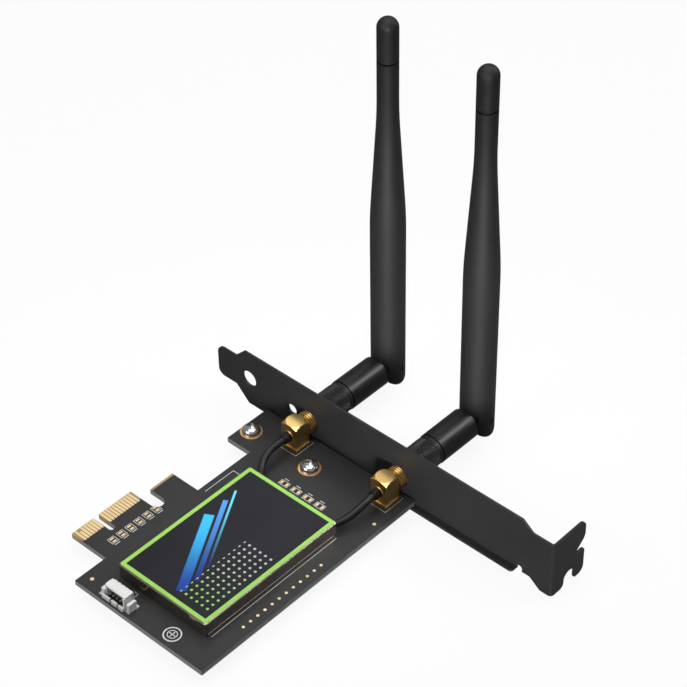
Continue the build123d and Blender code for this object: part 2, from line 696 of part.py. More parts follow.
for side, socket_x in SIDES:
    lead_end = (socket_x, POST_BACK_Y - SLEEVE_L - CABLE_LEAD, CABLE_EXIT_Z)
    hole = (HOLE_X[side] + HOLE_OFFSET[side][0], CAN_END_Y + HOLE_OFFSET[side][1], CABLE_HOLE_Z)
    plug_end = (PLUG_X[side], PLUG_TAIL_Y + PLUG_LEAD, PLUG_MID_Z)
    route = [
        (socket_x, POST_BACK_Y + CABLE_SEAT, CABLE_EXIT_Z),
        lead_end,
        *bent_run(lead_end, hole, OUTER_BENDS[side]),
        hole,
        *bent_run(hole, plug_end, INNER_BENDS[side]),
        plug_end,
        (PLUG_X[side], PLUG_TAIL_Y, PLUG_MID_Z),
    ]
    radii = bend_radii(route)
    with BuildPart() as pigtail:
        with BuildLine() as cable_line:
            FilletPolyline(*route, radius=radii)
        with BuildSketch(Plane(origin=cable_line.line @ 0, z_dir=cable_line.line % 0)):
            Circle(CABLE_R)
        sweep(path=cable_line.line)
    pigtail.part.label = f"pigtail_{side}"
    export_step(pigtail.part, f"parts/pigtail_{side}.step")
    cable_length = round(cable_line.wire().length, 1)
    print("pigtail", side, "length", cable_length, "smallest bend", round(min(radii), 1))

    with BuildPart() as pigtail_sleeve:
        with BuildSketch(Plane.XZ.offset(-POST_BACK_Y)):
            with Locations((socket_x, CABLE_EXIT_Z)):
                Circle(SLEEVE_R)
                Circle(CABLE_R, mode=Mode.SUBTRACT)
        extrude(amount=SLEEVE_L)
    pigtail_sleeve.part.label = f"pigtail_sleeve_{side}"
    export_step(pigtail_sleeve.part, f"parts/pigtail_sleeve_{side}.step")

    with BuildPart() as pigtail_plug:
        with BuildSketch(Plane.XY.offset(RECEPTACLE_TOP_Z)):
            with Locations((PLUG_X[side], RECEPTACLE_Y)):
                Circle(PLUG_R)
            with Locations((PLUG_X[side], RECEPTACLE_Y + PLUG_TAIL_L / 2)):
                Rectangle(PLUG_TAIL_W, PLUG_TAIL_L)
        extrude(amount=PLUG_H)
    pigtail_plug.part.label = f"pigtail_plug_{side}"
    export_step(pigtail_plug.part, f"parts/pigtail_plug_{side}.step")


# Antenna sockets: post with a turned top, threaded barrel, dielectric, centre pin and panel nut
for side, socket_x in SIDES:
    across = Plane(origin=(socket_x, PANEL_Y, AXIS_Z), x_dir=(1, 0, 0), z_dir=(0, 1, 0))
    post_axis = Axis((socket_x, POST_Y, 0), (0, 0, 1))
    seat_out = -POST_SETBACK - POST_D / 2

    with BuildPart() as socket_body:
        with BuildSketch(Plane.XY):
            with Locations((socket_x, POST_Y)):
                Rectangle(FOOT_W, FOOT_D)
        extrude(amount=FOOT_T)
        with BuildSketch(Plane.XY):
            with Locations((socket_x, POST_Y)):
                Rectangle(POST_W, POST_D)
        extrude(amount=POST_TOP_Z)
        with BuildSketch(Plane.XZ.offset(-POST_Y)):
            Polygon(
                (socket_x + POST_FLAT_R, POST_TOP_Z),
                (socket_x + POST_FLAT_R + POST_TURN_W, POST_TOP_Z),
                (socket_x + POST_FLAT_R + POST_TURN_W, POST_TOP_Z - POST_TURN_DROP),
                align=None,
            )
        revolve(axis=post_axis, mode=Mode.SUBTRACT)
        with BuildSketch(across.offset(-POST_SETBACK)):
            Circle(THREAD_R)
        extrude(amount=POST_SETBACK + BARREL_OUT)
        with BuildSketch(across.offset(DIELECTRIC_OUT)):
            Circle(MOUTH_R)
        extrude(amount=MOUTH_DEPTH, mode=Mode.SUBTRACT)
        with BuildSketch(across.offset(seat_out)):
            Circle(DIELECTRIC_R)
        extrude(amount=DIELECTRIC_OUT - seat_out, mode=Mode.SUBTRACT)
        with BuildSketch(Plane.XZ.offset(-POST_BACK_Y)):
            with Locations((socket_x, CABLE_EXIT_Z)):
                Circle(CABLE_R)
        extrude(amount=-CABLE_SEAT, mode=Mode.SUBTRACT)
        with BuildSketch(Plane.XY):
            with Locations((socket_x, POST_Y)):
                with GridLocations(2 * LEG_OFFSET, 2 * LEG_OFFSET, 2, 2):
                    Circle(LEG_R)
        extrude(amount=-BOARD_T - LEG_END)
    socket_body.part.label = f"socket_body_{side}"
    export_step(socket_body.part, f"parts/socket_body_{side}.step")

    with BuildPart() as socket_dielectric:
        with BuildSketch(across.offset(seat_out)):
            Circle(DIELECTRIC_R)
            Circle(SOCKET_PIN_R, mode=Mode.SUBTRACT)
        extrude(amount=DIELECTRIC_OUT - seat_out)
    socket_dielectric.part.label = f"socket_dielectric_{side}"
    export_step(socket_dielectric.part, f"parts/socket_dielectric_{side}.step")

    with BuildPart() as socket_pin:
        with BuildSketch(across.offset(seat_out)):
            Circle(SOCKET_PIN_R)
        extrude(amount=BARREL_OUT - SOCKET_PIN_SHORT - seat_out)
        chamfer(socket_pin.edges().group_by(Axis.Y)[-1], SOCKET_PIN_R / 2)
    socket_pin.part.label = f"socket_pin_{side}"
    export_step(socket_pin.part, f"parts/socket_pin_{side}.step")

    with BuildPart() as outer_nut:
        with BuildSketch(across.offset(OUTER_NUT_OUT)):
            RegularPolygon(NUT_FLATS / 2, 6, major_radius=False)
            Circle(THREAD_R, mode=Mode.SUBTRACT)
        extrude(amount=OUTER_NUT_T)
    outer_nut.part.label = f"outer_nut_{side}"
    export_step(outer_nut.part, f"parts/outer_nut_{side}.step")

    with BuildPart() as panel_washer:
        with BuildSketch(across.offset(WASHER_OUT)):
            Circle(WASHER_R)
            Circle(THREAD_R, mode=Mode.SUBTRACT)
        extrude(amount=WASHER_T)
    panel_washer.part.label = f"panel_washer_{side}"
    export_step(panel_washer.part, f"parts/panel_washer_{side}.step")


# Antennas: screwed coupling with a captive knurled nut, swivelling elbow barrel and hinged whip
for side, socket_x in SIDES:
    along = Plane(origin=(socket_x, PANEL_Y, AXIS_Z), x_dir=(0, 1, 0), z_dir=(1, 0, 0))
    across = Plane(origin=(socket_x, PANEL_Y, AXIS_Z), x_dir=(1, 0, 0), z_dir=(0, 1, 0))
    socket_axis = Axis((socket_x, PANEL_Y, AXIS_Z), (0, 1, 0))
    hinge = Plane(origin=(socket_x, HINGE_Y, AXIS_Z), x_dir=(0, 1, 0), z_dir=(1, 0, 0))
    upright = Plane(origin=(socket_x, HINGE_Y, AXIS_Z), x_dir=(1, 0, 0), z_dir=(0, -1, 0))
    whip_axis = Axis((socket_x, HINGE_Y, AXIS_Z), (0, 0, 1))

    with BuildPart() as coupling_nut:
        with BuildSketch(along):
            bore_r = THREAD_R + THREAD_FIT
            wall_out = NUT_END - NUT_WALL
            Polygon(
                (NUT_START, bore_r),
                (wall_out, bore_r),
                (wall_out, FERRULE_NECK_R + RUN_FIT),
                (NUT_END, FERRULE_NECK_R + RUN_FIT),
                (NUT_END, NUT_R - NUT_CHAMFER),
                (NUT_END - NUT_CHAMFER, NUT_R),
                (NUT_START + NUT_CHAMFER, NUT_R),
                (NUT_START, NUT_R - NUT_CHAMFER),
                align=None,
            )
        revolve(axis=socket_axis)
        with BuildSketch(across.offset(NUT_START + NUT_RIM)):
            with PolarLocations(NUT_R, KNURL_COUNT):
                Rectangle(2 * KNURL_H, KNURL_W)
        extrude(amount=NUT_LENGTH - 2 * NUT_RIM)
    coupling_nut.part.label = f"coupling_nut_{side}"
    export_step(coupling_nut.part, f"parts/coupling_nut_{side}.step")

    with BuildPart() as plug_ferrule:
        with BuildSketch(along):
            Polygon(
                (DIELECTRIC_OUT + END_PLAY, FERRULE_BORE_R),
                (FERRULE_END_OUT, FERRULE_BORE_R),
                (FERRULE_END_OUT, FERRULE_NECK_R),
                (TAIL_END_OUT, FERRULE_NECK_R),
                (TAIL_END_OUT, FERRULE_TAIL_R),
                (TAIL_OUT, FERRULE_TAIL_R),
                (TAIL_OUT, FERRULE_NECK_R),
                (FLANGE_BACK_OUT, FERRULE_NECK_R),
                (FLANGE_BACK_OUT, FERRULE_FLANGE_R),
                (FLANGE_OUT, FERRULE_FLANGE_R),
                (FLANGE_OUT, FERRULE_SLEEVE_R),
                (DIELECTRIC_OUT + END_PLAY, FERRULE_SLEEVE_R),
                align=None,
            )
        revolve(axis=socket_axis)
    plug_ferrule.part.label = f"plug_ferrule_{side}"
    export_step(plug_ferrule.part, f"parts/plug_ferrule_{side}.step")

    with BuildPart() as plug_dielectric:
        with BuildSketch(across.offset(DIELECTRIC_OUT + 2 * END_PLAY)):
            Circle(FERRULE_BORE_R)
            Circle(PLUG_CONTACT_R, mode=Mode.SUBTRACT)
        extrude(amount=FERRULE_END_OUT - DIELECTRIC_OUT - 2 * END_PLAY)
    plug_dielectric.part.label = f"plug_dielectric_{side}"
    export_step(plug_dielectric.part, f"parts/plug_dielectric_{side}.step")

    with BuildPart() as plug_contact:
        with BuildSketch(across.offset(DIELECTRIC_OUT + END_PLAY)):
            Circle(PLUG_CONTACT_R)
        extrude(amount=FERRULE_END_OUT - DIELECTRIC_OUT - END_PLAY)
        with BuildSketch(across.offset(DIELECTRIC_OUT + END_PLAY)):
            Circle(PLUG_CONTACT_BORE_R)
        extrude(amount=PLUG_CONTACT_DEPTH, mode=Mode.SUBTRACT)
    plug_contact.part.label = f"plug_contact_{side}"
    export_step(plug_contact.part, f"parts/plug_contact_{side}.step")

    with BuildPart() as swivel_barrel:
        with BuildSketch(across.offset(SWIVEL_OUT)):
            Circle(SWIVEL_R)
        extrude(amount=HINGE_OUT + TONGUE_TOP - SWIVEL_OUT)
        # Shape the tongue's end: low on top for the whip's crotch, round where the whip folds out
        with BuildSketch(hinge.offset(-SWIVEL_R)):
            with BuildLine():
                Polyline((-ELBOW_CLEAR_R, 2 * SWIVEL_R), (-ELBOW_CLEAR_R, TONGUE_TOP), (0, TONGUE_TOP))
                RadiusArc((0, TONGUE_TOP), (TONGUE_TOP, 0), TONGUE_TOP)
                Line((TONGUE_TOP, 0), (TONGUE_TOP, TONGUE_TOP - SWIVEL_R))
                RadiusArc((TONGUE_TOP, TONGUE_TOP - SWIVEL_R), (0, -SWIVEL_R), TONGUE_TOP)
                Polyline(
                    (0, -SWIVEL_R),
                    (0, -2 * SWIVEL_R),
                    (2 * SWIVEL_R, -2 * SWIVEL_R),
                    (2 * SWIVEL_R, 2 * SWIVEL_R),
                    (-ELBOW_CLEAR_R, 2 * SWIVEL_R),
                )
            make_face()
        extrude(amount=2 * SWIVEL_R, mode=Mode.SUBTRACT)
        # Flats on both sides for the whip's cheeks
        for flat in (TONGUE_HALF_W, -TONGUE_HALF_W):
            with BuildSketch(hinge.offset(flat)):
                with BuildLine():
                    Polyline(
                        (-ELBOW_CLEAR_R, 0),
                        (-ELBOW_CLEAR_R, 2 * ELBOW_R),
                        (2 * ELBOW_R, 2 * ELBOW_R),
                        (2 * ELBOW_R, -2 * ELBOW_R),
                        (0, -2 * ELBOW_R),
                        (0, -ELBOW_CLEAR_R),
                    )
                    RadiusArc((0, -ELBOW_CLEAR_R), (-ELBOW_CLEAR_R, 0), ELBOW_CLEAR_R)
                make_face()
            extrude(amount=flat, mode=Mode.SUBTRACT)
        with BuildSketch(along):
            Polygon(
                (SWIVEL_OUT, 0),
                (SWIVEL_OUT, FERRULE_NECK_R + RUN_FIT),
                (TAIL_OUT - RUN_FIT, FERRULE_NECK_R + RUN_FIT),
                (TAIL_OUT - RUN_FIT, FERRULE_TAIL_R + RUN_FIT),
                (TAIL_END_OUT + RUN_FIT, FERRULE_TAIL_R + RUN_FIT),
                (TAIL_END_OUT + RUN_FIT, FERRULE_NECK_R + RUN_FIT),
                (FERRULE_END_OUT + END_PLAY, FERRULE_NECK_R + RUN_FIT),
                (FERRULE_END_OUT + END_PLAY, 0),
                align=None,
            )
        revolve(axis=socket_axis, mode=Mode.SUBTRACT)
        with BuildSketch(hinge.offset(-ELBOW_R)):
            Circle(PIN_R + RUN_FIT)
        extrude(amount=2 * ELBOW_R, mode=Mode.SUBTRACT)
    swivel_barrel.part.label = f"swivel_barrel_{side}"
    export_step(swivel_barrel.part, f"parts/swivel_barrel_{side}.step")

    with BuildPart() as whip_sheath:
        with BuildSketch(upright) as whip_profile:
            Polygon(
                (0, -ELBOW_R),
                (ELBOW_R, -ELBOW_R),
                (ELBOW_R, TAPER_START),
                (TIP_R, TAPER_END),
                (TIP_R, SHEATH_LENGTH),
                (0, SHEATH_LENGTH),
                align=None,
            )
            corners = whip_profile.vertices()
            taper_foot = corners.sort_by_distance((ELBOW_R, TAPER_START, 0))[0]
            taper_head = corners.sort_by_distance((TIP_R, TAPER_END, 0))[0]
            fillet([taper_foot, taper_head], TAPER_BLEND_R)
        revolve(axis=whip_axis)
        # Round the lower end about the hinge
        with BuildSketch(hinge.offset(-ELBOW_R)):
            with Locations((0, -ELBOW_R)):
                Rectangle(4 * ELBOW_R, 2 * ELBOW_R)
            Circle(ELBOW_R, mode=Mode.SUBTRACT)
        extrude(amount=2 * ELBOW_R, mode=Mode.SUBTRACT)
        # Slot between the cheeks for the barrel's tongue
        with BuildSketch(upright):
            with Locations((0, TONGUE_TOP + ELBOW_GAP - ELBOW_R)):
                Rectangle(2 * (TONGUE_HALF_W + ELBOW_GAP), 2 * ELBOW_R)
        extrude(amount=ELBOW_R, both=True, mode=Mode.SUBTRACT)
        with BuildSketch(upright):
            Polygon(
                (0, WHIP_FLOOR - FEED_SEAT),
                (FEED_R + RUN_FIT, WHIP_FLOOR - FEED_SEAT),
                (FEED_R + RUN_FIT, WHIP_FLOOR),
                (ELBOW_R - WHIP_WALL, WHIP_FLOOR),
                (ELBOW_R - WHIP_WALL, TAPER_START),
                (TIP_R - TIP_WALL, TAPER_END),
                (TIP_R - TIP_WALL, SHEATH_LENGTH),
                (0, SHEATH_LENGTH),
                align=None,
            )
        revolve(axis=whip_axis, mode=Mode.SUBTRACT)
        with BuildSketch(hinge.offset(-ELBOW_R)):
            Circle(PIN_R)
        extrude(amount=2 * ELBOW_R, mode=Mode.SUBTRACT)
    whip_sheath.part.label = f"whip_sheath_{side}"
    export_step(whip_sheath.part, f"parts/whip_sheath_{side}.step")

    with BuildPart() as tip_cap:
        with BuildSketch(upright):
            with BuildLine():
                Polyline(
                    (0, WHIP_LENGTH),
                    (0, SHEATH_LENGTH - CAP_SPIGOT_L),
                    (TIP_R - TIP_WALL - RUN_FIT, SHEATH_LENGTH - CAP_SPIGOT_L),
                    (TIP_R - TIP_WALL - RUN_FIT, SHEATH_LENGTH),
                    (TIP_R - CAP_GROOVE, SHEATH_LENGTH),
                    (TIP_R, SHEATH_LENGTH + CAP_GROOVE),
                    (TIP_R, WHIP_LENGTH - TIP_R),
                )
                RadiusArc((TIP_R, WHIP_LENGTH - TIP_R), (0, WHIP_LENGTH), -TIP_R)
            make_face()
        revolve(axis=whip_axis)
    tip_cap.part.label = f"tip_cap_{side}"
    export_step(tip_cap.part, f"parts/tip_cap_{side}.step")

    with BuildPart() as hinge_pin:
        with BuildSketch(hinge.offset(-ELBOW_R + PIN_RECESS)):
            Circle(PIN_R)
        extrude(amount=2 * (ELBOW_R - PIN_RECESS))
    hinge_pin.part.label = f"hinge_pin_{side}"
    export_step(hinge_pin.part, f"parts/hinge_pin_{side}.step")

    with BuildPart() as radiator:
        with BuildSketch(upright):
            Polygon(
                (0, FEED_FOOT),
                (FEED_R, FEED_FOOT),
                (FEED_R, DIPOLE_START),
                (DIPOLE_R, DIPOLE_START),
                (DIPOLE_R, DIPOLE_END),
                (FEED_R, DIPOLE_END),
                (FEED_R, FEED_TIP),
                (0, FEED_TIP),
                align=None,
            )
        revolve(axis=whip_axis)
    radiator.part.label = f"radiator_{side}"
    export_step(radiator.part, f"parts/radiator_{side}.step")
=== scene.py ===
"""Looks of the plug-in radio card: finishes, turned and moulded pieces, studio and camera."""
import json
import math

import bmesh
import bpy
from mathutils import Matrix, Quaternion, Vector


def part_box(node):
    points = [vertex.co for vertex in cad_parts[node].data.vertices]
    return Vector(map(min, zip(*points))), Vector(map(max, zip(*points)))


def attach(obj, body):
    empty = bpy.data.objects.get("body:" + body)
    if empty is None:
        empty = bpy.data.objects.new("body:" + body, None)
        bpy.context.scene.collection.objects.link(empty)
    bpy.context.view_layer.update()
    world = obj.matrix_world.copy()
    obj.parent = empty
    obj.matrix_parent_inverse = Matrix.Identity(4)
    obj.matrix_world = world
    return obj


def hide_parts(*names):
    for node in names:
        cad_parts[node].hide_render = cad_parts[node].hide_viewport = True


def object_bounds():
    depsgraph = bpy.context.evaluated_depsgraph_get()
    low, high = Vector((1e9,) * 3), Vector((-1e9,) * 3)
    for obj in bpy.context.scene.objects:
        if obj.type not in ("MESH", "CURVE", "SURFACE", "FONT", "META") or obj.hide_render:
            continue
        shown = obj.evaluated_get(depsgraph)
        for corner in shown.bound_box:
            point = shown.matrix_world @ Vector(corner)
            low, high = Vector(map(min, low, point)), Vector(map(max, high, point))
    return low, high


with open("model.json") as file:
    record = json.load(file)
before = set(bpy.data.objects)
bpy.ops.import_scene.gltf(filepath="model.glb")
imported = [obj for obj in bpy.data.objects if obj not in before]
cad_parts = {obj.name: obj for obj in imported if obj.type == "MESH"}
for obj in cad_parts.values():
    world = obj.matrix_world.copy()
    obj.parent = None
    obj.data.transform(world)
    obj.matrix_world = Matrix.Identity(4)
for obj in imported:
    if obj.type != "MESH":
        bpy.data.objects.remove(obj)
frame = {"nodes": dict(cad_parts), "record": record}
cad_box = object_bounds()
nodes = frame["nodes"]
MM = 0.001

# Places in millimetres, as in the part's source
PANEL_Y = 60.85
AXIS_Z = 4.65
SOCKETS = {"left": 20.4, "right": 52.95}
CABLE_Z = 4.5
HINGE_Y = 93.65
TIP_R = 2.91
CAP_FOOT_Z = 105.35
CAP_TIP_Z = 118.05
SCREWS = ((8.0, 51.05), (29.9, 51.05))
POST_BACK_Y = 58.37
THREAD_PITCH = 0.70556
CABLE_R = 1.05
CONTACT_DEPTH = 4.35

# Rows of empty footprints and the mark on the board
CONTACT_ROW = [12.6 - index * 3.1 for index in range(6)]
CAN_ROW = [29.0 + index * 4.3 for index in range(4)]
MARK = (45.4, -15.6)


# Shader maths
class Wire:
    """A socket in a material's node tree, so that shader maths reads as arithmetic."""

    def __init__(self, tree, socket=None):
        self.tree = tree
        self.socket = socket

    def node(self, kind, inputs=None, out=0, stops=None, **settings):
        """Adds a node: its settings first, then the values or wires of its sockets."""
        made = self.tree.nodes.new(kind)
        for key, value in settings.items():
            setattr(made, key, value)
        if stops:
            elements = made.color_ramp.elements
            while len(elements) < len(stops):
                elements.new(0.5)
            for element, (place, colour) in zip(elements, stops):
                element.position = place
                element.color = (*colour, 1)
        for key, value in (inputs or {}).items():
            if isinstance(value, Wire):
                self.tree.links.new(value.socket, made.inputs[key])
            else:
                made.inputs[key].default_value = value
        return Wire(self.tree, made.outputs[out])

    def math(self, operation, a, b=0.0):
        return self.node("ShaderNodeMath", {0: a, 1: b}, operation=operation)

    def __add__(self, other):
        return self.math("ADD", self, other)

    def __radd__(self, other):
        return self.math("ADD", other, self)

    def __sub__(self, other):
        return self.math("SUBTRACT", self, other)

    def __rsub__(self, other):
        return self.math("SUBTRACT", other, self)

    def __mul__(self, other):
        return self.math("MULTIPLY", self, other)

    def __rmul__(self, other):
        return self.math("MULTIPLY", other, self)

    def __truediv__(self, other):
        return self.math("DIVIDE", self, other)

    def __gt__(self, other):
        return self.math("GREATER_THAN", self, other)

    def __lt__(self, other):
        return self.math("LESS_THAN", self, other)

    def __abs__(self):
        return self.math("ABSOLUTE", self)

    def __mod__(self, other):
        return self.math("MODULO", self, other)

    def least(self, other):
        return self.math("MINIMUM", self, other)

    def most(self, other):
        return self.math("MAXIMUM", self, other)

    def root(self):
        return self.math("SQRT", self)

    def sine(self):
        return self.math("SINE", self)

    def clamp(self):
        return self.node("ShaderNodeClamp", {0: self})

    def spread(self, low, high):
        """0 below low, 1 above high and smooth between."""
        sockets = {0: self, 1: low, 2: high}
        return self.node("ShaderNodeMapRange", sockets, interpolation_type="SMOOTHSTEP")

    def colour(self, a, b):
        """Colour a where this wire is 0, colour b where it is 1."""
        sides = [side if isinstance(side, Wire) else (*side, 1) for side in (a, b)]
        return self.node("ShaderNodeMix", {0: self, 6: sides[0], 7: sides[1]}, out=2, data_type="RGBA")


class Finish:
    """A material under way: its wires, its coordinates in millimetres and its shader."""

    def __init__(self, name):
        self.material = bpy.data.materials.new(name)
        self.material.use_nodes = True
        self.tree = self.material.node_tree
        self.shader = self.tree.nodes["Principled BSDF"]
        self.wire = Wire(self.tree)
        place = self.wire.node("ShaderNodeTexCoord", out=3)
        self.place = self.wire.node("ShaderNodeVectorMath", {0: place, 3: 1000.0}, operation="SCALE")
        split = self.wire.node("ShaderNodeSeparateXYZ", {0: self.place})
        self.x, self.y, self.z = (Wire(self.tree, s) for s in split.socket.node.outputs)

    def stretched(self, x=1.0, y=1.0, z=1.0):
        return self.wire.node("ShaderNodeVectorMath", {0: self.place, 1: (x, y, z)}, operation="MULTIPLY")

    def noise(self, size, detail=3.0, place=None):
        """Noise with features about size millimetres across, from 0 to 1."""
        sockets = {"Vector": place or self.place, "Scale": 1.0 / size, "Detail": detail}
        return self.wire.node("ShaderNodeTexNoise", sockets)

    def facing(self):
        """The part of the surface's normal along X, Y and Z."""
        normal = self.wire.node("ShaderNodeNewGeometry", out=1)
        split = self.wire.node("ShaderNodeSeparateXYZ", {0: normal})
        return [Wire(self.tree, s) for s in split.socket.node.outputs]

    def bump(self, height, depth, strength=1.0):
        """Relief of that depth in millimetres where the height is 1."""
        sockets = {"Height": height, "Distance": depth * MM, "Strength": strength}
        return self.wire.node("ShaderNodeBump", sockets)

    def set(self, **sockets):
        """Sets the shader's sockets, named with _ for a space, to wires, numbers or colours."""
        for key, value in sockets.items():
            socket = self.shader.inputs[key.replace("_", " ")]
            if isinstance(value, Wire):
                self.tree.links.new(value.socket, socket)
            elif isinstance(value, tuple):
                socket.default_value = (*value, 1)
            else:
                socket.default_value = value
        return self.material


# Finishes
def solder_mask():
    """Satin black lacquer on the faces, pale fibre on the cut edges and tan at the contact bevel."""
    f = Finish("solder mask")
    up = abs(f.facing()[2])
    face = up.spread(0.55, 0.9)
    cloud = f.noise(9.0, 4)
    speck = f.noise(0.22, 2)
    lacquer = (cloud * 0.5 + speck * 0.5).colour((0.021, 0.021, 0.022), (0.034, 0.034, 0.035))
    layers = ((f.z * 24.0).sine() * 0.5 + 0.5) * 0.5 + f.noise(0.5, 4, f.stretched(0.6, 0.6, 5)) * 0.5
    fibre = layers.colour((0.27, 0.27, 0.265), (0.44, 0.44, 0.43))
    tan = layers.colour((0.50, 0.36, 0.17), (0.72, 0.55, 0.30))
    last_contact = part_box("edge_contacts_front")[1].y / MM
    near_contacts = (1 - f.x.spread(2.2, 4.2)) * (f.y < last_contact + 1.2)
    edge = near_contacts.colour(fibre, tan)
    bare = layers.colour((0.33, 0.21, 0.085), (0.46, 0.31, 0.14))
    surface = f.x.spread(CONTACT_DEPTH, CONTACT_DEPTH + 0.2).colour(bare, lacquer)
    relief = f.noise(0.35, 2) * 0.6 + f.noise(2.4, 2) * 0.4
    return f.set(
        Base_Color=face.colour(edge, surface),
        Roughness=(1 - face) * 0.35 + 0.40 + cloud * 0.06,
        Normal=f.bump(relief, 0.012, 0.5),
        Specular_IOR_Level=0.25,
    )


def plated(
    name, bright, deep, roughness, brushed=(1.0, 1.0, 1.0), size=0.25, depth=0.003, metal=1.0, vary=1.0
):
    """Plated metal with fine tool marks and a faint stain."""
    f = Finish(name)
    marks = f.noise(size, 4, f.stretched(*brushed))
    stain = f.noise(2.6, 3)
    return f.set(
        Base_Color=(stain * 0.6 + marks * 0.4).spread(0.25, 0.8).colour(deep, bright),
        Roughness=roughness + (marks * 0.08 + stain * 0.05) * vary,
        Metallic=metal,
        Normal=f.bump(marks, depth, 0.3),
    )


def thread_finish():
    """Gold on the thread's crests, with painted shade: its roots coloured dark brown for the shade in the
    grooves.
    """
    f = Finish("thread gold")
    across = abs(f.x - SOCKETS["left"]).least(abs(f.x - SOCKETS["right"]))
    up = f.z - AXIS_Z
    radius = (across * across + up * up).root()
    crest = radius.spread(2.84, 3.09)
    marks = f.noise(0.4, 3)
    # Painted shade: the dark brown at the thread's roots stands in for the shade that falls in the grooves
    painted_shade_root_gold = (0.17, 0.075, 0.02)
    crest_gold = marks.colour((0.74, 0.44, 0.13), (0.86, 0.56, 0.20))
    return f.set(
        Base_Color=crest.colour(painted_shade_root_gold, crest_gold),
        Roughness=0.26 + marks * 0.04,
        Metallic=1.0,
        Normal=f.bump(marks, 0.001, 0.3),
    )


def coated_sheet():
    """Satin black coat on folded sheet, with soft rub marks."""
    f = Finish("bracket coat")
    cloud = f.noise(11.0, 4, f.stretched(0.6, 1.0, 1.0))
    grit = f.noise(0.18, 2)
    return f.set(
        Base_Color=(cloud * 0.7 + grit * 0.3).spread(0.3, 0.75).colour(
            (0.0065, 0.0065, 0.0068), (0.0105, 0.0105, 0.0109)
        ),
        Roughness=0.40 + cloud * 0.08 + grit * 0.03,
        Normal=f.bump(grit, 0.003, 0.3),
        Specular_IOR_Level=0.30,
    )


def moulded_black(name, dark, light, roughness, specular, grit_size=0.16):
    """Satin moulded plastic with a fine spark-eroded grain."""
    f = Finish(name)
    cloud = f.noise(14.0, 3)
    grit = f.noise(grit_size, 2)
    return f.set(
        Base_Color=(cloud * 0.6 + grit * 0.4).spread(0.3, 0.75).colour(dark, light),
        Roughness=roughness + grit * 0.08 + cloud * 0.04,
        Normal=f.bump(grit, 0.012, 0.5),
        Specular_IOR_Level=specular,
    )


def moulded_white():
    """Glossy off-white moulding with faint flow marks."""
    f = Finish("header plastic")
    flow = f.noise(1.6, 3, f.stretched(1, 0.5, 2))
    return f.set(
        Base_Color=flow.colour((0.70, 0.70, 0.69), (0.79, 0.79, 0.78)),
        Roughness=0.34 + flow * 0.1,
        Normal=f.bump(flow, 0.02, 0.3),
    )


def printed_label():
    """Printed film: a lime frame round a dark field with slanted blue bars and a grid of dots."""
    f = Finish("label print")
    low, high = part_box("shield_label")
    mid = (low + high) / 2 / MM
    half = (high - low) / 2 / MM
    across = f.x - mid.x
    along = f.y - mid.y
    rim = 1.15
    border = (abs(across) > half.x - rim).most(abs(along) > half.y - rim)
    glow = (1 - (f.noise(16.0, 2) * 1.1 - 0.1)).clamp()
    field = glow.colour((0.007, 0.007, 0.010), (0.013, 0.013, 0.020))
    slant = across * 0.86 + along * 0.50
    run = along * 0.86 - across * 0.50
    for centre, width, start, end, deep, pale in (
        (-7.4, 1.50, -19.0, 9.0, (0.010, 0.045, 0.32), (0.05, 0.55, 0.95)),
        (-4.6, 0.75, -15.0, 15.0, (0.008, 0.03, 0.22), (0.10, 0.35, 0.85)),
        (-2.9, 0.35, -10.0, 19.0, (0.010, 0.02, 0.12), (0.16, 0.75, 0.95)),
    ):
        body = 1 - abs(slant - centre).spread(width * 0.80, width)
        ends = run.spread(start, start + 0.4) * (1 - run.spread(end - 0.4, end))
        shade = run.spread(start, end).colour(deep, pale)
        field = (body * ends).colour(field, shade)
    step = 1.9
    dot_x = (across + 100 * step) % step - step / 2
    dot_y = (along + 100 * step) % step - step / 2
    reach = (dot_x * dot_x + dot_y * dot_y).root()
    zone = (across > 2.85) * (along < 3.8) * (across < half.x - 2.4) * (along > -half.y + 2.4)
    dots = (1 - reach.spread(0.34, 0.42)) * zone
    dot_shade = along.spread(-half.y, 4).colour((0.30, 0.62, 0.10), (0.55, 0.56, 0.58))
    field = dots.colour(field, dot_shade)
    film = f.noise(0.3, 2)
    lime = f.noise(5.0, 2).colour((0.31, 0.61, 0.10), (0.37, 0.68, 0.14))
    return f.set(
        Base_Color=border.colour(field, lime),
        Roughness=0.34 + film * 0.08,
        Normal=f.bump(film, 0.003, 0.3),
        Specular_IOR_Level=0.2,
    )


mask = solder_mask()
contact_gold = plated(
    "contact gold", (0.93, 0.76, 0.45), (0.86, 0.63, 0.34), 0.36, (0.3, 1.6, 1.0), metal=0.6
)
socket_gold = plated(
    "socket gold", (0.97, 0.68, 0.27), (0.93, 0.62, 0.22), 0.28, size=1.2, depth=0.0005, vary=0.3
)
thread_gold = thread_finish()
pad_copper = plated("pad copper", (0.80, 0.50, 0.25), (0.62, 0.36, 0.16), 0.25)
screw_chrome = plated("screw chrome", (0.78, 0.78, 0.78), (0.62, 0.62, 0.63), 0.10, depth=0.001)
can_bright = plated("can metal", (0.50, 0.45, 0.39), (0.40, 0.36, 0.31), 0.06, (1, 1, 0.4), 0.5, 0.001)
tin = plated("header tin", (0.74, 0.73, 0.70), (0.56, 0.55, 0.53), 0.24)
bracket_coat = coated_sheet()
antenna_plastic = moulded_black(
    "antenna plastic", (0.0038, 0.0038, 0.0039), (0.0060, 0.0060, 0.0062), 0.50, 0.35
)
barrel_plastic = moulded_black("barrel plastic", (0.0045, 0.0045, 0.0046), (0.0075, 0.0075, 0.0077), 0.35, 0.30)
nut_coat = moulded_black("nut coat", (0.0070, 0.0070, 0.0072), (0.0110, 0.0110, 0.0113), 0.40, 0.26)
pin_plastic = moulded_black("pin plastic", (0.008, 0.008, 0.008), (0.014, 0.014, 0.014), 0.45, 0.30)
cable_jacket = moulded_black("cable jacket", (0.006, 0.006, 0.006), (0.011, 0.011, 0.011), 0.36, 0.35, 0.10)
